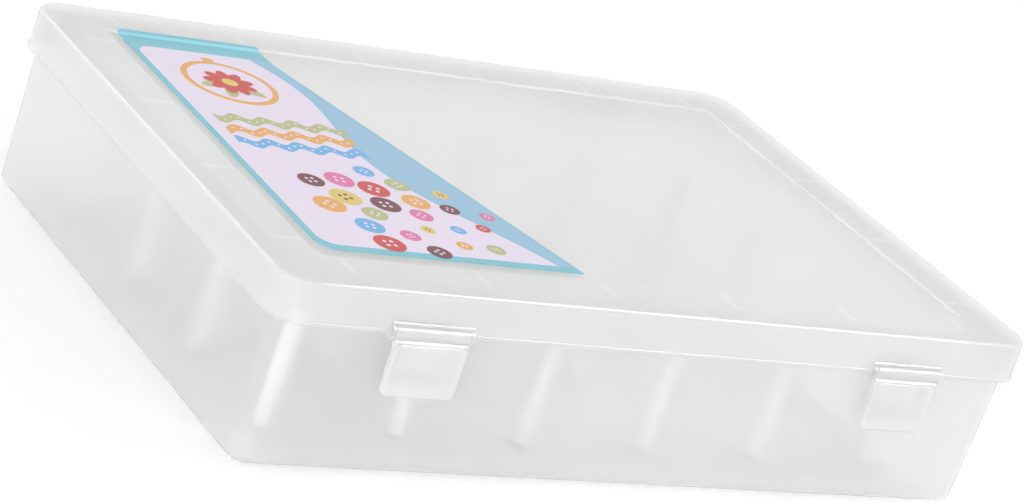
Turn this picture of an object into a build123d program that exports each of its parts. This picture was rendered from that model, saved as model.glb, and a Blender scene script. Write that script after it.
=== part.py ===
"""Embroidery thread box: a frosted tray with upright spool pegs, a hinged lid and two snap latches.

Millimetres, +Z up, X along the front, the front faces -Y.
The origin is the middle of the foot's underside, where the box rests.
"""
import os
from math import cos, radians, sin, tan

from build123d import *

# ------------------------------------------------------------------ spool pegs
PEG_COLUMNS = 6
PEG_ROWS = 4
PEG_PITCH = 48.0             # between pegs, along both sides
PEG_DIAMETER = 6.4
PEG_HEIGHT = 40.0            # above the floor
PEG_TIP_TAPER = 1.8          # length of the tapered tip
PEG_TIP_INSET = 1.1          # how far the tip narrows, each side
NUB_WIDTH = 3.0              # square nub on the floor that the peg is pushed over
NUB_HEIGHT = 5.0
NUB_CLEARANCE = 0.05         # round the nub
NUB_END_GAP = 0.6            # above the nub, inside the peg

# ------------------------------------------------------------------ tray
END_MARGIN = 21.7            # last peg's centre to the end wall's inner face, at the rim
SIDE_MARGIN = 25.2           # last peg's centre to the front wall's inner face, at the rim
RIM_HEIGHT = 62.5            # rim above the table
WALL = 2.0
FLOOR = 2.0
WALL_DRAFT = 0.84            # degrees, each wall leans out towards the rim
TRAY_CORNER = 7.5            # outer corner radius at the rim
BOTTOM_ROUND = 3.0           # outer edge round the bottom
FOOT_DEPTH = 1.0             # the middle of the floor steps down to rest on the table
FOOT_END_GAP = 2.3           # last peg's flank to the foot's end
FOOT_SIDE_GAP = 5.9          # last peg's flank to the foot's side
FOOT_STEP_WALL = 1.0         # foot's outline to the sunk floor's outline
FOOT_CORNER = 6.0
FOOT_CHAMFER = 0.4
FLANGE_WIDTH = 0.5           # rim flange, outwards from the wall
FLANGE_HEIGHT = 2.0
FLANGE_CHAMFER = 0.4
INNER_FLOOR_ROUND = 1.5

# ------------------------------------------------------------------ lid
LID_GAP = 0.8                # rim flange to the skirt's inner face
CORNER_EASE = 1.2            # lid's corners are this much rounder than the tray's
SEAT_GAP = 0.3               # rim to the lid's underside
LID_WALL = 1.8
SKIRT_DEPTH = 14.0
SKIRT_DRAFT = 1.3            # degrees, the skirt flares out downwards
TOP_ROUND = 1.4
BEAD_WIDTH = 0.35            # bead round the skirt's lower edge
BEAD_HEIGHT = 1.4
BEAD_ROUND = 0.3
PANEL_DEPTH = 0.9            # sunk panel that a stacked box's foot drops into
PANEL_GAP = 1.5              # foot of a stacked box to the panel's step
PANEL_CORNER = 5.0
PANEL_EDGE_ROUND = 0.45
RIB_WIDTH = 1.3
RIB_HEIGHT = 2.4             # ribs and locating wall, below the lid's underside
LOCATOR_WALL = 1.2
LOCATOR_END_GAP = 2.3        # locating wall to the tray's end wall
LOCATOR_SIDE_GAP = 3.9       # locating wall to the tray's front and rear walls

# ------------------------------------------------------------------ latches
LATCH_SPACING = 186.8        # between the two latches' centres
LATCH_WIDTH = 26.0
LATCH_SIDE_GAP = 0.3         # latch to the lid's lug, each side
LUG_WIDTH = 1.3
BAR_DIAMETER = 2.8
BAR_CLEARANCE = 0.06         # bar to the barrel's bore
BARREL_WALL = 1.05
BARREL_RISE = 0.6            # bar's axis above the skirt's lower edge
BARREL_PROUD = 0.2           # bar's axis outside the skirt's outer face
BARREL_NOTCH_GAP = 0.3       # barrel to the notch's roof
HOOD_HEIGHT = 0.9
HOOD_PROUD = 1.15
HOOD_CHAMFER = 0.3
FLAP_DROP = 2.26             # bar's axis to the flap's upper edge
FLAP_LENGTH = 17.5
FLAP_THICK = 1.8
FLAP_PROUD = 1.3             # flap's face beyond the barrel
FLAP_CORNER = 2.2
FLAP_EDGE_ROUND = 0.6
CHEEK_WIDTH = 1.5
CHEEK_DEPTH = 3.4
CHEEK_INSET = 2.0            # flap's side edge to the cheek
NECK_THICK = 0.5             # neck in front of the flap's back, so that the flap's top stands free
NECK_FRONT = 40.0            # degrees below the bar's axis where the neck leaves the barrel in front
NECK_BACK = 58.0             # and behind
CLIP_MOUTH = 2.3             # opening that lets the barrel snap over the bar
HOOK_DROP = 13.4             # bar's axis to the hook's upper face
HOOK_NOSE = 0.9              # upright face of the hook
HOOK_HEIGHT = 3.5            # hook at its root on the flap
CATCH_WIDTH = 17.0
CATCH_REACH = 2.0            # out from the tray's wall
CATCH_NOSE = 1.0             # upright face of the catch
CATCH_HEIGHT = 3.4
CATCH_GAP = 0.3              # hook to the catch

# ------------------------------------------------------------------ hinges
HINGE_SPACING = 186.8
PIN_DIAMETER = 2.5
PIN_SEAT_GAP = 0.02          # pin to the tray's lugs, where it stays put
PIN_RUNNING_GAP = 0.07       # pin to the lid's knuckle
KNUCKLE_DIAMETER = 5.6
KNUCKLE_WIDTH = 14.0
HINGE_LUG_WIDTH = 8.0
HINGE_SIDE_GAP = 0.35
HINGE_STAND_OFF = 0.35       # knuckle to the bead
HINGE_LUG_DROP = 15.0        # hinge axis to the lug's foot on the wall
HINGE_LUG_GAP = 0.6          # below the skirt
HINGE_LUG_LEAN = 35.0        # degrees below the hinge axis where the lug meets its eye
PIN_CHAMFER = 0.3

# ------------------------------------------------------------------ label
LABEL_THICK = 0.3
LABEL_END_GAP = 4.7          # panel's left step to the label's left edge
LABEL_BACK_WIDTH = 57.0
LABEL_FRONT_WIDTH = 95.5
LABEL_FRONT_GAP = 5.1        # panel's front step to the label's front edge
LABEL_CORNER = 4.0
LABEL_LAP = 2.4              # the back edge climbs the step and laps onto the border
LABEL_CLIMB = 1.35           # run over which it climbs

# ------------------------------------------------------------------ how cuts are made
OVERCUT = 1.0                # a cutting block runs this far past what it cuts
EDGE_REACH = 0.1             # how near an edge lies to the outline that it is picked by

# ------------------------------------------------------------------ worked out from these
peg_radius = PEG_DIAMETER / 2
peg_end = (PEG_COLUMNS - 1) * PEG_PITCH / 2
peg_side = (PEG_ROWS - 1) * PEG_PITCH / 2
peg_xs = [column * PEG_PITCH - peg_end for column in range(PEG_COLUMNS)]
peg_ys = [row * PEG_PITCH - peg_side for row in range(PEG_ROWS)]

inner_x = peg_end + END_MARGIN              # half sizes at the rim
inner_y = peg_side + SIDE_MARGIN
wall_x = inner_x + WALL
wall_y = inner_y + WALL
inner_corner = TRAY_CORNER - WALL
floor_top = FLOOR
shelf_top = FLOOR + FOOT_DEPTH              # floor between the foot's step and the walls
foot_x = peg_end + peg_radius + FOOT_END_GAP
foot_y = peg_side + peg_radius + FOOT_SIDE_GAP

lid_under = RIM_HEIGHT + SEAT_GAP
lid_top = lid_under + LID_WALL
skirt_low = lid_top - SKIRT_DEPTH
skirt_in_x = wall_x + FLANGE_WIDTH + LID_GAP
skirt_in_y = wall_y + FLANGE_WIDTH + LID_GAP
lid_x = skirt_in_x + LID_WALL
lid_y = skirt_in_y + LID_WALL
lid_corner = TRAY_CORNER + FLANGE_WIDTH + LID_GAP + LID_WALL + CORNER_EASE
skirt_flare = SKIRT_DEPTH * tan(radians(SKIRT_DRAFT))
skirt_low_y = lid_y + skirt_flare           # skirt's outer face at its lower edge
panel_x = foot_x + PANEL_GAP
panel_y = foot_y + PANEL_GAP
panel_top = lid_top - PANEL_DEPTH
locator_x = inner_x - LOCATOR_END_GAP
locator_y = inner_y - LOCATOR_SIDE_GAP

latch_xs = [-LATCH_SPACING / 2, LATCH_SPACING / 2]
bar_radius = BAR_DIAMETER / 2
bore_radius = bar_radius + BAR_CLEARANCE
barrel_radius = bore_radius + BARREL_WALL
barrel_middle = bore_radius + BARREL_WALL / 2
bar_y = -(skirt_low_y + BARREL_PROUD)
bar_z = skirt_low + BARREL_RISE
notch_half = LATCH_WIDTH / 2 + LATCH_SIDE_GAP
notch_roof = bar_z + barrel_radius + BARREL_NOTCH_GAP
flap_front = bar_y - barrel_radius - FLAP_PROUD
flap_back = flap_front + FLAP_THICK
flap_top = bar_z - FLAP_DROP
flap_low = flap_top - FLAP_LENGTH
hook_top = bar_z - HOOK_DROP
catch_low = hook_top + CATCH_GAP


def wall_face(height):
    """Distance of the tray's outer front or rear face from the middle, at a height."""
    return wall_y - (RIM_HEIGHT - height) * tan(radians(WALL_DRAFT))


catch_face = wall_face(catch_low) + CATCH_REACH
hook_tip = -(catch_face + CATCH_GAP)

hinge_xs = [-HINGE_SPACING / 2, HINGE_SPACING / 2]
pin_radius = PIN_DIAMETER / 2
knuckle_radius = KNUCKLE_DIAMETER / 2
knuckle_middle = (pin_radius + knuckle_radius) / 2
hinge_y = skirt_low_y + BEAD_WIDTH + HINGE_STAND_OFF + knuckle_radius
hinge_z = skirt_low
hinge_half = KNUCKLE_WIDTH / 2 + HINGE_SIDE_GAP + HINGE_LUG_WIDTH

label_left = -(panel_x - LABEL_END_GAP)
label_front = -(panel_y - LABEL_FRONT_GAP)
label_back = panel_y + LABEL_LAP


# ------------------------------------------------------------------ shared shapes
STANDING = (Align.CENTER, Align.CENTER, Align.MIN)


def rounded_slab(half_x, half_y, corner, low, high, draft=0.0):
    """Upright block with rounded corners: its size is at the top, and draft narrows it downwards."""
    outline = Plane.XY.offset(high) * RectangleRounded(2 * half_x, 2 * half_y, corner)
    return extrude(outline, amount=high - low, dir=(0, 0, -1), taper=draft)


def prism_x(points, width, middle_x):
    """Side profile of (y, z) points, extruded along X to a width about middle_x."""
    profile = Plane.YZ * make_face(Polyline(*points, close=True))
    return Pos(middle_x, 0, 0) * extrude(profile, amount=width / 2, both=True)


def rod_x(radius, width, middle_x, y, z):
    """Round bar along X."""
    return Pos(middle_x, y, z) * Rot(0, 90, 0) * Cylinder(radius, width)


def round_axis(y, z, radius, angle):
    """(y, z) point at a distance from an axis along X, turned from +Y towards +Z by degrees."""
    return y + radius * cos(radians(angle)), z + radius * sin(radians(angle))


# ------------------------------------------------------------------ tray
def tray_shell():
    """Drafted tray with a rim flange, an open top and a floor that steps down to the foot."""
    body = rounded_slab(wall_x, wall_y, TRAY_CORNER, FOOT_DEPTH, RIM_HEIGHT, WALL_DRAFT)
    body = fillet(body.edges().group_by(Axis.Z)[0], BOTTOM_ROUND)
    flange = rounded_slab(wall_x + FLANGE_WIDTH, wall_y + FLANGE_WIDTH, TRAY_CORNER + FLANGE_WIDTH,
                          RIM_HEIGHT - FLANGE_HEIGHT, RIM_HEIGHT)
    flange = chamfer(flange.edges().group_by(Axis.Z)[0], FLANGE_CHAMFER)
    foot = rounded_slab(foot_x, foot_y, FOOT_CORNER, 0, shelf_top)
    foot = chamfer(foot.edges().group_by(Axis.Z)[0], FOOT_CHAMFER)
    room = rounded_slab(inner_x, inner_y, inner_corner, shelf_top, RIM_HEIGHT, WALL_DRAFT)
    room = fillet(room.edges().group_by(Axis.Z)[0], INNER_FLOOR_ROUND)
    sunk = rounded_slab(foot_x - FOOT_STEP_WALL, foot_y - FOOT_STEP_WALL,
                        FOOT_CORNER - FOOT_STEP_WALL, floor_top, shelf_top + INNER_FLOOR_ROUND)
    return body + flange + foot - room - sunk


def floor_nubs():
    """One short square nub for each peg."""
    nub = Box(NUB_WIDTH, NUB_WIDTH, NUB_HEIGHT, align=STANDING)
    return [Pos(x, y, floor_top) * nub for x in peg_xs for y in peg_ys]


def catch(middle_x):
    """Wedge on the front wall that the latch's hook snaps under."""
    root = -(wall_face(catch_low) - WALL / 2)
    slope_top = catch_low + CATCH_HEIGHT
    return prism_x([(root, catch_low), (-catch_face, catch_low),
                    (-catch_face, catch_low + CATCH_NOSE), (root, slope_top)],
                   CATCH_WIDTH, middle_x)


def hinge_lug(middle_x):
    """Bracket from the rear wall, under the skirt, out to the hinge pin."""
    foot = hinge_z - HINGE_LUG_DROP
    top = skirt_low - HINGE_LUG_GAP
    root = wall_face(foot) - WALL / 2
    arm = prism_x([(root, foot), (root, top), (skirt_in_y - LID_WALL, top),
                   round_axis(hinge_y, hinge_z, knuckle_middle, 180 + HINGE_LUG_LEAN / 2),
                   (hinge_y, hinge_z),
                   round_axis(hinge_y, hinge_z, knuckle_middle, -HINGE_LUG_LEAN)],
                  HINGE_LUG_WIDTH, middle_x)
    eye = rod_x(knuckle_radius, HINGE_LUG_WIDTH, middle_x, hinge_y, hinge_z)
    return arm + eye - rod_x(pin_radius + PIN_SEAT_GAP, 2 * HINGE_LUG_WIDTH, middle_x, hinge_y, hinge_z)


def base_tray():
    tray = tray_shell()
    tray += floor_nubs()
    for x in latch_xs:
        tray += catch(x)
    lug_offset = hinge_half - HINGE_LUG_WIDTH / 2
    for x in hinge_xs:
        tray += hinge_lug(x - lug_offset)
        tray += hinge_lug(x + lug_offset)
    return tray


def spool_peg(x, y):
    """Upright peg with a tapered tip and a square socket that grips the floor's nub."""
    peg = Cylinder(peg_radius, PEG_HEIGHT, align=STANDING)
    tip = peg.edges().group_by(Axis.Z)[-1]
    peg = chamfer(tip, PEG_TIP_TAPER, PEG_TIP_INSET, reference=peg.faces().filter_by(GeomType.CYLINDER)[0])
    socket = NUB_WIDTH + 2 * NUB_CLEARANCE
    peg -= Box(socket, socket, NUB_HEIGHT + NUB_END_GAP, align=STANDING)
    return Pos(x, y, floor_top) * peg


# ------------------------------------------------------------------ lid
def lid_shell():
    """Lid with a flared, beaded skirt and a sunk panel, at an even thickness."""
    shell = rounded_slab(lid_x, lid_y, lid_corner, skirt_low, lid_top, -SKIRT_DRAFT)
    shell = fillet(shell.edges().group_by(Axis.Z)[-1], TOP_ROUND)
    bead = rounded_slab(lid_x + skirt_flare + BEAD_WIDTH, skirt_low_y + BEAD_WIDTH,
                        lid_corner + skirt_flare + BEAD_WIDTH, skirt_low, skirt_low + BEAD_HEIGHT)
    bead = fillet(bead.edges().group_by(Axis.Z)[-1], BEAD_ROUND)
    bead = fillet(bead.edges().group_by(Axis.Z)[0], BEAD_ROUND)
    room = rounded_slab(skirt_in_x, skirt_in_y, lid_corner - LID_WALL, skirt_low, lid_under,
                        -SKIRT_DRAFT)
    panel = rounded_slab(panel_x, panel_y, PANEL_CORNER, panel_top, lid_top)
    under = rounded_slab(panel_x + LID_WALL, panel_y + LID_WALL, PANEL_CORNER + LID_WALL,
                         panel_top - LID_WALL, lid_under)
    shell = shell + bead - room + under - panel
    top_edges = shell.edges().filter_by_position(Axis.Z, lid_top - EDGE_REACH, lid_top + EDGE_REACH)
    rim = [edge for edge in top_edges if abs(edge.center().X) < panel_x + EDGE_REACH
           and abs(edge.center().Y) < panel_y + EDGE_REACH]
    return fillet(rim, PANEL_EDGE_ROUND)


def lid_ribs():
    """Locating wall inside the tray's rim, tied to the panel's step by one rib for each peg row."""
    low = lid_under - RIB_HEIGHT
    corner = inner_corner
    wall = rounded_slab(locator_x, locator_y, corner, low, lid_under)
    wall -= rounded_slab(locator_x - LOCATOR_WALL, locator_y - LOCATOR_WALL, corner - LOCATOR_WALL,
                         low, lid_under)
    end_length = locator_x - panel_x
    side_length = locator_y - panel_y
    middle_z = lid_under - RIB_HEIGHT / 2
    ribs = [wall]
    for side in (-1, 1):
        for y in peg_ys:
            ribs.append(Pos(side * (panel_x + end_length / 2), y, middle_z)
                        * Box(end_length - LOCATOR_WALL / 2, RIB_WIDTH, RIB_HEIGHT))
        for x in peg_xs:
            ribs.append(Pos(x, side * (panel_y + side_length / 2), middle_z)
                        * Box(RIB_WIDTH, side_length - LOCATOR_WALL / 2, RIB_HEIGHT))
    return ribs


def latch_seat_cut(middle_x):
    """Notch in the front skirt that makes room for a latch's barrel."""
    low = skirt_low - OVERCUT
    reach = BARREL_PROUD + skirt_flare + LID_WALL + OVERCUT
    return Pos(middle_x, bar_y, low) * Box(2 * notch_half, 2 * reach, notch_roof - low, align=STANDING)


def latch_seat(middle_x):
    """Hood over the notch, a lug at each end of it and the bar between them."""
    seat_width = 2 * (notch_half + LUG_WIDTH)
    lug_offset = notch_half + LUG_WIDTH / 2
    root = -(lid_y - LID_WALL / 2)
    face = -(lid_y + skirt_flare / 2 + HOOD_PROUD)
    top = notch_roof + HOOD_HEIGHT
    hood = prism_x([(root, notch_roof), (face, notch_roof), (face, top - HOOD_CHAMFER),
                    (face + HOOD_CHAMFER, top), (root, top)], seat_width, middle_x)
    bar = rod_x(bar_radius, seat_width, middle_x, bar_y, bar_z)
    lugs = [rod_x(barrel_radius, LUG_WIDTH, middle_x + side * lug_offset, bar_y, bar_z)
            for side in (-1, 1)]
    return [hood, bar] + lugs


def lid_knuckle(middle_x):
    """Lid's half of a hinge: a knuckle on a short tab from the rear skirt."""
    root = skirt_low_y - LID_WALL / 2
    tab = prism_x([(root, hinge_z), (hinge_y, hinge_z), (hinge_y, hinge_z + knuckle_radius),
                   (root, hinge_z + 2 * knuckle_radius)], KNUCKLE_WIDTH, middle_x)
    eye = rod_x(knuckle_radius, KNUCKLE_WIDTH, middle_x, hinge_y, hinge_z)
    return tab + eye - rod_x(pin_radius + PIN_RUNNING_GAP, 2 * KNUCKLE_WIDTH, middle_x, hinge_y, hinge_z)


def lid():
    cover = lid_shell()
    cover += lid_ribs()
    for x in latch_xs:
        cover -= latch_seat_cut(x)
        cover += latch_seat(x)
    for x in hinge_xs:
        cover += lid_knuckle(x)
    return cover


# ------------------------------------------------------------------ latch
def latch_flap(middle_x):
    """Flat flap with rounded corners and a rounded front edge."""
    height = flap_top - flap_low
    outline = Plane.XZ.offset(-flap_back) * Pos(middle_x, flap_low + height / 2) * RectangleRounded(
        LATCH_WIDTH, height, FLAP_CORNER)
    flap = extrude(outline, amount=FLAP_THICK)
    return fillet(flap.edges().group_by(Axis.Y)[0], FLAP_EDGE_ROUND)


def latch_neck(middle_x):
    """Web that carries the flap from the barrel."""
    low = flap_top - FLAP_CORNER
    face = flap_back - NECK_THICK
    return prism_x([(flap_back, low), (face, low), (face, flap_top),
                    round_axis(bar_y, bar_z, barrel_middle, 180 + NECK_FRONT), (bar_y, bar_z),
                    round_axis(bar_y, bar_z, barrel_middle, -NECK_BACK)],
                   LATCH_WIDTH, middle_x)


def latch_cheek(middle_x):
    """Stiffening wall along one side of the flap, behind it."""
    low = flap_low + FLAP_CORNER
    front = flap_back - FLAP_THICK / 2
    back = flap_back + CHEEK_DEPTH
    return prism_x([(front, low), (flap_back, low), (back, low + CHEEK_DEPTH),
                    (back, flap_top - CHEEK_DEPTH),
                    round_axis(bar_y, bar_z, barrel_middle, -90), (front, flap_top)],
                   CHEEK_WIDTH, middle_x)


def latch_hook(middle_x):
    """Hook across the back of the flap, with a slope below that rides over the catch."""
    root = flap_back - FLAP_THICK / 2
    return prism_x([(root, hook_top), (hook_tip, hook_top), (hook_tip, hook_top - HOOK_NOSE),
                    (root, hook_top - HOOK_HEIGHT)],
                   LATCH_WIDTH - 2 * CHEEK_INSET - CHEEK_WIDTH, middle_x)


def latch(middle_x):
    """Snap latch: a split barrel round the lid's bar, and a flap with two cheeks and a hook."""
    cheek_offset = (LATCH_WIDTH - CHEEK_WIDTH) / 2 - CHEEK_INSET
    piece = latch_flap(middle_x) + latch_neck(middle_x)
    piece += rod_x(barrel_radius, LATCH_WIDTH, middle_x, bar_y, bar_z)
    piece += [latch_cheek(middle_x + side * cheek_offset) for side in (-1, 1)]
    piece += latch_hook(middle_x)
    piece -= rod_x(bore_radius, LATCH_WIDTH + OVERCUT, middle_x, bar_y, bar_z)
    return piece - Pos(middle_x, bar_y + barrel_radius, bar_z) * Box(
        LATCH_WIDTH + OVERCUT, 2 * barrel_radius, CLIP_MOUTH)


# ------------------------------------------------------------------ hinge pins and label
def hinge_pin(middle_x):
    pin = rod_x(pin_radius, 2 * hinge_half, middle_x, hinge_y, hinge_z)
    return chamfer(pin.edges().filter_by(GeomType.CIRCLE), PIN_CHAMFER)


def label_card():
    """Printed sheet on the sunk panel: its slanting right edge widens it towards the front."""
    outline = make_face(Polyline((label_left, label_back), (label_left + LABEL_BACK_WIDTH, label_back),
                                 (label_left + LABEL_FRONT_WIDTH, label_front),
                                 (label_left, label_front), close=True))
    outline = fillet(outline.vertices().group_by(Axis.X)[0], LABEL_CORNER)
    climb = panel_y - LABEL_CLIMB
    bend = LABEL_THICK / 2
    sheet = [(label_front - OVERCUT, panel_top), (climb, panel_top), (panel_y, lid_top),
             (label_back + OVERCUT, lid_top), (label_back + OVERCUT, lid_top + LABEL_THICK),
             (panel_y - bend, lid_top + LABEL_THICK), (climb - bend, panel_top + LABEL_THICK),
             (label_front - OVERCUT, panel_top + LABEL_THICK)]
    profile = prism_x(sheet, 2 * LABEL_FRONT_WIDTH, label_left + LABEL_FRONT_WIDTH / 2)
    column = extrude(Plane.XY.offset(panel_top - OVERCUT) * outline,
                     amount=PANEL_DEPTH + LABEL_THICK + 2 * OVERCUT)
    return profile & column


# ------------------------------------------------------------------ write every piece
def pieces():
    named = {"base_tray": base_tray(), "lid": lid(), "label_card": label_card()}
    for side, latch_x, hinge_x in zip(("left", "right"), latch_xs, hinge_xs):
        named["latch_" + side] = latch(latch_x)
        named["hinge_pin_" + side] = hinge_pin(hinge_x)
    for row, y in enumerate(peg_ys, start=1):
        for column, x in enumerate(peg_xs, start=1):
            named[f"spool_peg_{row}_{column}"] = spool_peg(x, y)
    return named


os.makedirs("parts", exist_ok=True)
for name, shape in pieces().items():
    export_step(shape, os.path.join("parts", name + ".step"))
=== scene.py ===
"""Embroidery thread box: frosted tray and hinged lid, snap latches, spool pegs and a printed sheet.

Metres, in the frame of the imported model: +Z up, the front faces -Y, and the origin is under the middle of
the foot.
"""
import math

import bmesh
import bpy
from mathutils import Matrix, Vector


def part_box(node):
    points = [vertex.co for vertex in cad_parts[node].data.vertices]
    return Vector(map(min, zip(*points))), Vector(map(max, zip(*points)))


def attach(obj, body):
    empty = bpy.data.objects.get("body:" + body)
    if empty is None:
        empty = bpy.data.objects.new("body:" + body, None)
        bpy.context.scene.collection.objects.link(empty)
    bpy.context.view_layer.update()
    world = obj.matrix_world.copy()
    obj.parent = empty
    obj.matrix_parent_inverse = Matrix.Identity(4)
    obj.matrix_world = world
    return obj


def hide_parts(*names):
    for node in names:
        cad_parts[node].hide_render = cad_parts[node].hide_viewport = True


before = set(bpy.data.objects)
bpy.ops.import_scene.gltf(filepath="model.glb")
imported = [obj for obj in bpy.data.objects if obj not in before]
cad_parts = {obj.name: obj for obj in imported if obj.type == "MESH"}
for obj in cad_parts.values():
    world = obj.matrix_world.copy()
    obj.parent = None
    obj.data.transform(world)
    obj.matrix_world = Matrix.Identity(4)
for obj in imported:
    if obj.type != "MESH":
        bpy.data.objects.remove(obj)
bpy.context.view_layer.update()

MM = 0.001
WHITE = (1.0, 1.0, 1.0, 1.0)

# ------------------------------------------------------------------ camera
VIEW_AIM = Vector((-0.04775, -0.0656, 0.0646))  # point on the lid that the camera looks at
VIEW_DISTANCE = 1.0361
VIEW_AZIMUTH = 36.83        # degrees, from +Y towards +X
VIEW_DIP = 19.49            # degrees below level
VIEW_ROLL = 19.79           # degrees, the photograph is tilted
LENS = 116.66               # mm on a 36 mm wide sensor

# ------------------------------------------------------------------ stage and light
FLOOR_GAP = 0.2 * MM        # floor below the foot, so that the two faces don't coincide
FLOOR_HALF = 6.0
FLOOR_ALBEDO = 0.8
FLOOR_GLOW = 0.34
SKY_TOP = 0.48              # the light falls off towards the zenith, as in a light tent
SKY_LOW = 1.2
KEY_WATTS = 4.0             # each lamp's direction is the one from the origin towards it
KEY_DIRECTION = (0.565, -0.25, 0.78)
KEY_DISTANCE = 2.0
KEY_SIZE = (0.4, 0.4)
FILL_WATTS = 32.0           # lights the pegs through the front wall
FILL_DIRECTION = (-0.74, -0.64, 0.2)
FILL_DISTANCE = 2.5
FILL_SIZE = (3.0, 1.1)
SHEEN_WATTS = 50.0          # makes only the gleams along the front edges
SHEEN_LEFT_WATTS = 16.0     # makes only the gleams along the left edges
SHEEN_LEFT_DIRECTION = (-0.334, 0.755, 0.565)
SHEEN_DISTANCE = 2.1
SHEEN_SIZE = (0.9, 0.9)

# ------------------------------------------------------------------ plastics
CLOUDING = 0.99             # darkest tone of the faint clouds in a moulded skin
FROST_CLOUDS = 28.0         # scale of those clouds
FROST_IOR = 1.045           # low, because the haze inside the plastic straightens the light again
FROST_ALPHA = 0.78          # the rest goes straight through
FROST_ROUGH = 0.35
FROST_ROUGH_SWING = 0.03
FROST_BUMP = 0.15 * MM      # height of the skin's soft unevenness
LATCH_ROUGH = 0.4
COAT = 0.6                  # smooth skin over the haze
COAT_ROUGH = 0.08
TRAY_PASS = 0.72            # share of the light that goes through, blurred
LID_PASS = 0.62
LATCH_PASS = 0.35
TRAY_TONE = 247
LID_TONE = 246
LATCH_TONE = 244
PEG_TONE = 252
STEEL_COLOUR = (205, 207, 210)
OPAQUE_IOR = 1.5            # of pegs and inks

# ------------------------------------------------------------------ lid, as in the solids
PANEL_X, PANEL_Y = 127.0 * MM, 82.6 * MM            # middle of the lid to the panel's step
RIB_END_X, RIB_END_Y = 139.4 * MM, 93.3 * MM        # middle of the lid to the outer ends of its ribs
RIB_PITCH = 48.0 * MM                               # one rib for each row of pegs
PAINTED_LIGHT_REACH = 1.4 * MM         # how far from its middle a rib or the step still has painted light, which whitens the skin over it

# ------------------------------------------------------------------ printed sheet, millimetres
SHEET_THICK = 0.3
SHEET_LIFT = 0.03           # its underside above the panel, so that the two faces don't coincide
SHEET_TEAL = (130, 203, 219)
SHEET_EDGE = ((-76.0, -25.9), (70.4, -67.4), (84.2, -68.5))     # y and x along its slanted right edge
SHEET_FRONT_CORNER = 7.0
SHEET_BACK_CORNER = 2.0
STEP_PLACE = 82.45          # y where it has climbed the panel's step
STEP_RUN = 1.35             # length over which it climbs
STEP_RISE = 0.9
INK_STEP = 0.05             # each ink lies this much above the one below
FIELD_MARGIN = 2.2          # teal border left of the field
FIELD_FRONT = 3.5
FIELD_BACK = 11.0
FIELD_CORNER = 6.0
BAND_WIDTH = 15.0           # mean width of the blue band, which the field's wavy edge widens and narrows
WAVE_SWING = 9.0
WAVE_COUNT = 1.15           # waves along the field's edge
WAVE_START = 0.2
HOOP_PLACE = (-95.0, 49.0)
HOOP_RADIUS = 17.0
HOOP_RIM = 2.2
PETALS = 9
HOOP_CLASP = 2.0            # half its width
RIBBON_WIDTH = 5.0
RIBBON_SWING = 1.7
RIBBON_WAVE = 11.0          # length of one wave
RIBBON_FIRST = 18.0         # y of the rearmost trim
RIBBON_SPACING = 9.0
RIBBON_SHIFT = 0.3          # part of a wave from one trim to the next
BUTTONS = 23
BUTTON_PLACE = (-74.0, -44.0)
BUTTON_SPREAD = 6.9
BUTTON_RADIUS = 5.0
SUNFLOWER_TURN = 137.5      # degrees from one button to the next


def srgb(red, green, blue):
    """Linear colour of an 8-bit screen colour."""
    def linear(level):
        level /= 255
        return level / 12.92 if level <= 0.04045 else ((level + 0.055) / 1.055) ** 2.4
    return linear(red), linear(green), linear(blue), 1.0


INKS = {"field": srgb(244, 232, 251), "band": srgb(156, 201, 230), "olive": srgb(190, 194, 138),
        "orange": srgb(240, 176, 92), "blue": srgb(112, 184, 238), "red": srgb(214, 66, 62),
        "pink": srgb(232, 120, 170), "maroon": srgb(116, 52, 58), "yellow": srgb(232, 208, 110)}


def camera_axes():
    """Right, up and forward directions of the camera."""
    azimuth, dip, roll = (math.radians(a) for a in (VIEW_AZIMUTH, VIEW_DIP, VIEW_ROLL))
    forward = Vector((math.sin(azimuth) * math.cos(dip), math.cos(azimuth) * math.cos(dip), -math.sin(dip)))
    level = Vector((math.cos(azimuth), -math.sin(azimuth), 0))
    rise = level.cross(forward)
    right = level * math.cos(roll) + rise * math.sin(roll)
    return right, right.cross(forward), forward


def add_camera():
    right, up, forward = camera_axes()
    data = bpy.data.cameras.new("camera")
    data.lens = LENS
    data.sensor_width = 36
    data.clip_start = 0.01
    camera = bpy.data.objects.new("camera", data)
    bpy.context.scene.collection.objects.link(camera)
    turn = Matrix((right, up, -forward)).transposed().to_4x4()
    camera.matrix_world = Matrix.Translation(VIEW_AIM - forward * VIEW_DISTANCE) @ turn
    bpy.context.scene.camera = camera


# ------------------------------------------------------------------ node helpers
class Nodes:
    """Short forms for building a node tree."""

    def __init__(self, tree):
        self.tree = tree
        tree.nodes.clear()

    def add(self, kind, inputs=None, **settings):
        node = self.tree.nodes.new(kind)
        for name, value in settings.items():
            setattr(node, name, value)
        for name, value in (inputs or {}).items():
            if isinstance(value, bpy.types.NodeSocket):
                self.tree.links.new(value, node.inputs[name])
            else:
                node.inputs[name].default_value = value
        return node


def shows_white(nodes):
    """1 for camera, glossy and transmission rays, which see the white background; 0 for the rest."""
    path = nodes.add("ShaderNodeLightPath")
    seen = nodes.add("ShaderNodeMath", {0: path.outputs["Is Camera Ray"], 1: path.outputs["Is Glossy Ray"]},
                     operation="MAXIMUM")
    return nodes.add("ShaderNodeMath", {0: seen.outputs[0], 1: path.outputs["Is Transmission Ray"]},
                     operation="MAXIMUM").outputs[0]


def blank(name):
    material = bpy.data.materials.new(name)
    material.use_nodes = True
    return material, Nodes(material.node_tree)


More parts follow.
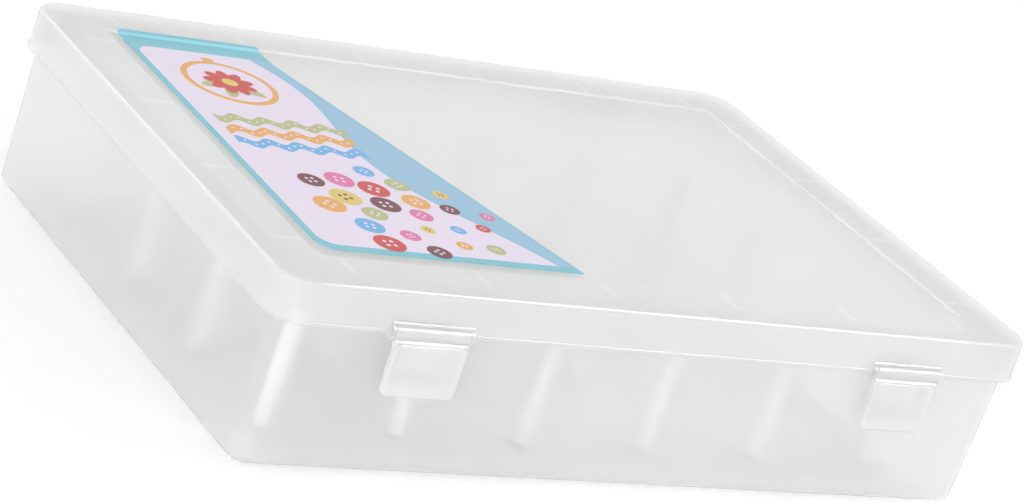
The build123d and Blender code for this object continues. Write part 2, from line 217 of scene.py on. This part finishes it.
# ------------------------------------------------------------------ stage
def add_floor():
    z = -FLOOR_GAP
    corners = [(-FLOOR_HALF, -FLOOR_HALF, z), (FLOOR_HALF, -FLOOR_HALF, z),
               (FLOOR_HALF, FLOOR_HALF, z), (-FLOOR_HALF, FLOOR_HALF, z)]
    mesh = bpy.data.meshes.new("floor")
    mesh.from_pydata(corners, [], [(0, 1, 2, 3)])
    floor = bpy.data.objects.new("floor", mesh)
    bpy.context.scene.collection.objects.link(floor)
    material, nodes = blank("floor")
    matt = nodes.add("ShaderNodeBsdfDiffuse", {"Color": (FLOOR_ALBEDO, FLOOR_ALBEDO, FLOOR_ALBEDO, 1)})
    strength = nodes.add("ShaderNodeMath", {0: shows_white(nodes), 1: FLOOR_GLOW}, operation="MULTIPLY")
    glow = nodes.add("ShaderNodeEmission", {"Color": WHITE, "Strength": strength.outputs[0]})
    both = nodes.add("ShaderNodeAddShader", {0: matt.outputs[0], 1: glow.outputs[0]})
    nodes.add("ShaderNodeOutputMaterial", {"Surface": both.outputs[0]})
    mesh.materials.append(material)


def add_world():
    world = bpy.data.worlds.new("studio")
    bpy.context.scene.world = world
    world.use_nodes = True
    nodes = Nodes(world.node_tree)
    towards = nodes.add("ShaderNodeTexCoord").outputs["Generated"]
    height = nodes.add("ShaderNodeSeparateXYZ", {0: towards}).outputs[2]
    tent = nodes.add("ShaderNodeMapRange", {"Value": height, "To Min": SKY_LOW, "To Max": SKY_TOP})
    level = nodes.add("ShaderNodeMapRange", {"Value": shows_white(nodes), "To Min": tent.outputs[0],
                                             "To Max": 1.0})
    sky = nodes.add("ShaderNodeBackground", {"Color": WHITE, "Strength": level.outputs[0]})
    nodes.add("ShaderNodeOutputWorld", {"Surface": sky.outputs[0]})


def add_lamp(name, direction, distance, size, power, lights=True, gleams=True):
    """Area lamp that faces the box; it lights surfaces, gleams in smooth skins, or does both."""
    data = bpy.data.lights.new(name, "AREA")
    data.shape = "RECTANGLE"
    data.size, data.size_y = size
    data.energy = power
    lamp = bpy.data.objects.new(name, data)
    bpy.context.scene.collection.objects.link(lamp)
    towards = Vector(direction).normalized()
    lamp.location = towards * distance
    lamp.rotation_euler = towards.to_track_quat("Z", "Y").to_euler()
    lamp.visible_diffuse = lights
    lamp.visible_transmission = lights
    lamp.visible_glossy = gleams


# ------------------------------------------------------------------ materials
def mottled(nodes, colour, darkest, scale):
    """Place on the piece, noise there, and the colour clouded a little by that noise."""
    place = nodes.add("ShaderNodeTexCoord").outputs["Object"]
    cloud = nodes.add("ShaderNodeTexNoise", {"Vector": place, "Scale": scale, "Detail": 3.0}).outputs[0]
    low = tuple(c * darkest for c in colour[:3]) + (1.0,)
    tone = nodes.add("ShaderNodeMix", {"Factor": cloud, 6: low, 7: colour}, data_type="RGBA")
    return place, cloud, tone.outputs[2]


def painted_rib_light(nodes, place):
    """Mask of painted light: 1 where a rib or the panel's step stands on edge under the lid's skin, and 0
    elsewhere; there the skin's colour is whitened as a painted highlight line.
    """
    def calculate(operation, first, second=0.0):
        return nodes.add("ShaderNodeMath", {0: first, 1: second}, operation=operation).outputs[0]

    def fade(value, full, none):
        return nodes.add("ShaderNodeMapRange", {"Value": value, "From Min": none,
                                                "From Max": full}).outputs[0]

    def between(value, low, high):
        above = calculate("GREATER_THAN", value, low)
        return calculate("MULTIPLY", above, calculate("LESS_THAN", value, high))

    split = nodes.add("ShaderNodeSeparateXYZ", {0: place})
    x, y = (calculate("ABSOLUTE", split.outputs[i]) for i in (0, 1))
    half = RIB_PITCH / 2
    painted_light = []
    for along, across, step_along, step_across, rib_end in (
            (x, y, PANEL_X, PANEL_Y, RIB_END_Y), (y, x, PANEL_Y, PANEL_X, RIB_END_X)):
        # rib and step hold the painted light lines over a rib and over the panel's step
        wave = calculate("PINGPONG", along, half)
        rib = fade(wave, half - PAINTED_LIGHT_REACH / 2, half - PAINTED_LIGHT_REACH)
        rib = calculate("MULTIPLY", rib, between(across, step_across, rib_end))
        off = calculate("ABSOLUTE", calculate("SUBTRACT", across, step_across))
        step = fade(off, PAINTED_LIGHT_REACH / 2, PAINTED_LIGHT_REACH)
        inside = calculate("LESS_THAN", along, step_along)
        painted_light.append(calculate("MULTIPLY", calculate("MAXIMUM", rib, step), inside))
    return calculate("MAXIMUM", painted_light[0], painted_light[1])


def frosted(name, level, transmission, roughness, painted_light=None):
    """Milky moulded plastic under a smooth skin: part of the light goes through, most of that blurred. An
    optional mask adds lines of painted light that whiten its colour.
    """
    material, nodes = blank(name)
    place, cloud, tone = mottled(nodes, srgb(level, level, level), CLOUDING, FROST_CLOUDS)
    # Painted light: the mask whitens the colour in lines over the lid's ribs and the panel's step.
    if painted_light:
        tone = nodes.add("ShaderNodeMix", {"Factor": painted_light(nodes, place), 6: tone, 7: WHITE},
                         data_type="RGBA").outputs[2]
    rough = nodes.add("ShaderNodeMapRange", {"Value": cloud, "To Min": roughness - FROST_ROUGH_SWING,
                                             "To Max": roughness + FROST_ROUGH_SWING})
    bump = nodes.add("ShaderNodeBump", {"Height": cloud, "Strength": 0.5, "Distance": FROST_BUMP})
    shader = nodes.add("ShaderNodeBsdfPrincipled", {
        "Base Color": tone, "Roughness": rough.outputs[0], "Normal": bump.outputs[0],
        "IOR": FROST_IOR, "Transmission Weight": transmission, "Alpha": FROST_ALPHA,
        "Coat Weight": COAT, "Coat Roughness": COAT_ROUGH})
    nodes.add("ShaderNodeOutputMaterial", {"Surface": shader.outputs[0]})
    return material


def peg_white(name):
    """Natural white plastic, opaque and satin."""
    material, nodes = blank(name)
    _, cloud, tone = mottled(nodes, srgb(PEG_TONE, PEG_TONE, PEG_TONE), CLOUDING, 60.0)
    rough = nodes.add("ShaderNodeMapRange", {"Value": cloud, "To Min": 0.36, "To Max": 0.46})
    bump = nodes.add("ShaderNodeBump", {"Height": cloud, "Strength": 0.3, "Distance": 0.05 * MM})
    shader = nodes.add("ShaderNodeBsdfPrincipled", {
        "Base Color": tone, "Roughness": rough.outputs[0], "Normal": bump.outputs[0], "IOR": OPAQUE_IOR})
    nodes.add("ShaderNodeOutputMaterial", {"Surface": shader.outputs[0]})
    return material


def printed(name, colour):
    """Ink on coated paper, very slightly mottled."""
    material, nodes = blank(name)
    _, cloud, tone = mottled(nodes, colour, 0.95, 140.0)
    bump = nodes.add("ShaderNodeBump", {"Height": cloud, "Strength": 0.08, "Distance": 0.05 * MM})
    shader = nodes.add("ShaderNodeBsdfPrincipled", {
        "Base Color": tone, "Roughness": 0.42, "Normal": bump.outputs[0], "IOR": OPAQUE_IOR})
    nodes.add("ShaderNodeOutputMaterial", {"Surface": shader.outputs[0]})
    return material


def drawn_steel(name):
    """Wire with faint streaks along it."""
    material, nodes = blank(name)
    place = nodes.add("ShaderNodeTexCoord").outputs["Object"]
    along = nodes.add("ShaderNodeMapping", {"Vector": place, "Scale": (60.0, 2400.0, 2400.0)})
    streak = nodes.add("ShaderNodeTexNoise", {"Vector": along.outputs[0], "Scale": 1.0, "Detail": 3.0})
    rough = nodes.add("ShaderNodeMapRange", {"Value": streak.outputs[0], "To Min": 0.22, "To Max": 0.4})
    bump = nodes.add("ShaderNodeBump", {"Height": streak.outputs[0], "Strength": 0.2,
                                        "Distance": 0.05 * MM})
    shader = nodes.add("ShaderNodeBsdfPrincipled", {
        "Base Color": srgb(*STEEL_COLOUR), "Metallic": 1.0, "Roughness": rough.outputs[0],
        "Normal": bump.outputs[0]})
    nodes.add("ShaderNodeOutputMaterial", {"Surface": shader.outputs[0]})
    return material


def dress(node, material):
    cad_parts[node].material_slots[0].material = material


# ------------------------------------------------------------------ printed sheet
def circle(x, y, radius, sides=32):
    turn = 2 * math.pi / sides
    return [(x + radius * math.cos(i * turn), y + radius * math.sin(i * turn)) for i in range(sides)]


def leaf(x, y, length, width, angle, sides=20):
    """Pointed oval that starts at a point and leans by degrees."""
    cos, sin = math.cos(math.radians(angle)), math.sin(math.radians(angle))
    outline = []
    for i in range(sides):
        turn = 2 * math.pi * i / sides
        along = length * (1 - math.cos(turn)) / 2
        across = width / 2 * math.sin(turn)
        outline.append((x + along * cos - across * sin, y + along * sin + across * cos))
    return outline


def quarter(x, y, radius, first):
    """Points of a quarter turn round a corner's centre, clockwise from a direction in degrees."""
    turns = [math.radians(first - 15 * i) for i in range(7)]
    return [(x + radius * math.cos(turn), y + radius * math.sin(turn)) for turn in turns]


class Sheet:
    """The printed sheet's own outline, and the shapes of each ink."""

    def __init__(self):
        low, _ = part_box("label_card")
        self.left, self.low = low[0] / MM, low[2] / MM
        self.front, self.back = SHEET_EDGE[0][0], SHEET_EDGE[-1][0]
        self.top = self.low + SHEET_THICK
        self.shapes = {name: [] for name in INKS}

    def share(self, y):
        return (y - self.front) / (self.back - self.front)

    def right(self, y):
        for (y0, x0), (y1, x1) in zip(SHEET_EDGE, SHEET_EDGE[1:]):
            if y <= y1:
                return x0 + (x1 - x0) * (y - y0) / (y1 - y0)
        return SHEET_EDGE[-1][1]

    def left_edge(self, y):
        """Left edge with its two rounded corners."""
        for radius, depth in ((SHEET_FRONT_CORNER, y - self.front), (SHEET_BACK_CORNER, self.back - y)):
            if depth < radius:
                return self.left + radius - math.sqrt(radius ** 2 - (radius - depth) ** 2)
        return self.left

    def card(self):
        """The sheet itself, which bends up the panel's step and laps onto the border."""
        rows = [self.front + SHEET_FRONT_CORNER * (1 - math.cos(math.pi * i / 24)) for i in range(13)]
        rows += [-40.0, 0.0, 40.0, SHEET_EDGE[1][0], STEP_PLACE - STEP_RUN, STEP_PLACE]
        rows += [self.back - SHEET_BACK_CORNER * math.cos(math.pi * i / 12) for i in range(1, 7)]
        mesh = bmesh.new()
        rings = []
        for y in rows:
            climb = min(max((y - STEP_PLACE + STEP_RUN) / STEP_RUN, 0.0), 1.0) * STEP_RISE
            low, high = self.low + climb + SHEET_LIFT, self.low + climb + SHEET_THICK
            left, right = self.left_edge(y), self.right(y)
            rings.append([mesh.verts.new((x * MM, y * MM, z * MM))
                          for x, z in ((left, low), (right, low), (right, high), (left, high))])
        for ring, beyond in zip(rings, rings[1:]):
            for i in range(4):
                j = (i + 1) % 4
                mesh.faces.new((ring[i], ring[j], beyond[j], beyond[i]))
        mesh.faces.new(rings[0][::-1])
        mesh.faces.new(rings[-1])
        bmesh.ops.recalc_face_normals(mesh, faces=mesh.faces)
        self.place("label_sheet", mesh, printed("sheet_teal", srgb(*SHEET_TEAL)))
        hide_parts("label_card")

    def place(self, name, mesh, material):
        data = bpy.data.meshes.new(name)
        mesh.to_mesh(data)
        mesh.free()
        data.materials.append(material)
        piece = bpy.data.objects.new(name, data)
        bpy.context.scene.collection.objects.link(piece)
        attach(piece, "lid")

    def field_right(self, y):
        """Wavy edge between the pale field and the blue band."""
        turn = 2 * math.pi * (WAVE_COUNT * self.share(y) - WAVE_START)
        return self.right(y) - BAND_WIDTH - WAVE_SWING * math.sin(turn)

    def ink(self, name, level, outline):
        self.shapes[name].append((level, outline))

    def ground(self):
        """Pale field with a wavy right edge, and the blue band beside it."""
        front, back, left = self.front + FIELD_FRONT, self.back - FIELD_BACK, self.left + FIELD_MARGIN
        rows = [front + (back - front) * i / 40 for i in range(41)]
        bend = FIELD_CORNER
        field = [(self.field_right(y), y) for y in rows]
        field += [(x, y) for x, y in reversed(quarter(left + bend, back - bend, bend, 180))]
        field += [(x, y) for x, y in reversed(quarter(left + bend, front + bend, bend, 270))]
        self.ink("field", 1, field)
        self.ink("band", 1, [(self.field_right(y) + 0.6, y) for y in reversed(rows)]
                 + [(self.right(y) - 1.0, y) for y in rows])

    def hoop(self):
        """Embroidery hoop with a flower worked in it."""
        x, y = HOOP_PLACE
        self.ink("orange", 2, circle(x, y, HOOP_RADIUS, 48))
        clasp_low, clasp_high = y + HOOP_RADIUS - 1, y + HOOP_RADIUS + 3
        self.ink("orange", 2.3, [(x - HOOP_CLASP, clasp_low), (x + HOOP_CLASP, clasp_low),
                                 (x + HOOP_CLASP, clasp_high), (x - HOOP_CLASP, clasp_high)])
        self.ink("field", 3, circle(x, y, HOOP_RADIUS - HOOP_RIM, 48))
        for place, angle in enumerate((200, 250, 315)):
            self.ink("olive", 4 + 0.3 * place, leaf(x, y, HOOP_RADIUS * 0.78, 5.0, angle))
        for petal in range(PETALS):
            self.ink("red", 5 + 0.3 * (petal % 3),
                     leaf(x, y, HOOP_RADIUS * 0.56, 4.6, 360 * petal / PETALS + 90))
        self.ink("yellow", 6.2, circle(x, y, HOOP_RADIUS * 0.17, 24))

    def ribbon(self, name, middle, phase):
        """Wavy trim across the field."""
        start, end = self.left + FIELD_MARGIN + 5, self.field_right(middle) + 3
        places = [start + (end - start) * i / 48 for i in range(49)]

        def wave(x):
            return middle + RIBBON_SWING * math.sin(2 * math.pi * (x / RIBBON_WAVE + phase))
        self.ink(name, 2, [(x, wave(x) - RIBBON_WIDTH / 2) for x in places]
                 + [(x, wave(x) + RIBBON_WIDTH / 2) for x in reversed(places)])
        for i in range(3, 47, 3):
            self.ink("field", 3, circle(places[i], wave(places[i]), 0.55, 8))

    def buttons(self):
        """Buttons of several sizes on a sunflower spiral, each with four holes."""
        colours = ("pink", "maroon", "yellow", "orange", "olive", "blue", "red")
        for i in range(BUTTONS):
            reach, turn = BUTTON_SPREAD * math.sqrt(i + 0.4), math.radians(SUNFLOWER_TURN * i)
            x, y = BUTTON_PLACE[0] + reach * math.cos(turn), BUTTON_PLACE[1] + reach * math.sin(turn)
            radius = BUTTON_RADIUS * (0.82 + 0.3 * math.sin(2.3 * i))
            name = colours[i % len(colours)]
            level = 2 + 0.3 * (i % 5)
            self.ink(name, level, circle(x, y, radius))
            hole = "field" if name != "yellow" else "maroon"
            for corner in range(4):
                lean = turn + math.pi * corner / 2
                self.ink(hole, level + 0.2, circle(x + 0.34 * radius * math.cos(lean),
                                                   y + 0.34 * radius * math.sin(lean), 0.14 * radius, 10))

    def build(self):
        """The card, and one thin closed piece for each ink."""
        self.card()
        for name, shapes in self.shapes.items():
            mesh = bmesh.new()
            for level, outline in shapes:
                low = (self.top + (level - 1.5) * INK_STEP) * MM
                high = (self.top + level * INK_STEP) * MM
                bottom = [mesh.verts.new((x * MM, y * MM, low)) for x, y in outline]
                top = [mesh.verts.new((x * MM, y * MM, high)) for x, y in outline]
                mesh.faces.new(top)
                mesh.faces.new(bottom[::-1])
                for i in range(len(outline)):
                    j = (i + 1) % len(outline)
                    mesh.faces.new((bottom[i], bottom[j], top[j], top[i]))
            bmesh.ops.recalc_face_normals(mesh, faces=mesh.faces)
            self.place("label_" + name, mesh, printed("ink_" + name, INKS[name]))


def print_sheet():
    """Needlework design: wavy field, hoop, three trims and scattered buttons."""
    sheet = Sheet()
    sheet.ground()
    sheet.hoop()
    for place, name in enumerate(("olive", "orange", "blue")):
        sheet.ribbon(name, RIBBON_FIRST - RIBBON_SPACING * place, RIBBON_SHIFT * place)
    sheet.buttons()
    sheet.build()


add_camera()
add_floor()
add_world()
add_lamp("key", KEY_DIRECTION, KEY_DISTANCE, KEY_SIZE, KEY_WATTS)
add_lamp("fill", FILL_DIRECTION, FILL_DISTANCE, FILL_SIZE, FILL_WATTS, gleams=False)
add_lamp("sheen", KEY_DIRECTION, SHEEN_DISTANCE, SHEEN_SIZE, SHEEN_WATTS, lights=False)
add_lamp("sheen_left", SHEEN_LEFT_DIRECTION, SHEEN_DISTANCE, SHEEN_SIZE, SHEEN_LEFT_WATTS, lights=False)

tray_plastic = frosted("frosted_tray", TRAY_TONE, TRAY_PASS, FROST_ROUGH)
# the lid also gets painted light lines over its ribs and the panel's step
lid_plastic = frosted("frosted_lid", LID_TONE, LID_PASS, FROST_ROUGH, painted_rib_light)
latch_plastic = frosted("frosted_latch", LATCH_TONE, LATCH_PASS, LATCH_ROUGH)
peg_plastic = peg_white("peg_white")
pin_steel = drawn_steel("pin_steel")
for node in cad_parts:
    if node.startswith("spool_peg"):
        dress(node, peg_plastic)
    elif node.startswith("latch"):
        dress(node, latch_plastic)
    elif node.startswith("hinge_pin"):
        dress(node, pin_steel)
dress("base_tray", tray_plastic)
dress("lid", lid_plastic)
print_sheet()

bpy.context.scene.view_settings.view_transform = "Standard"
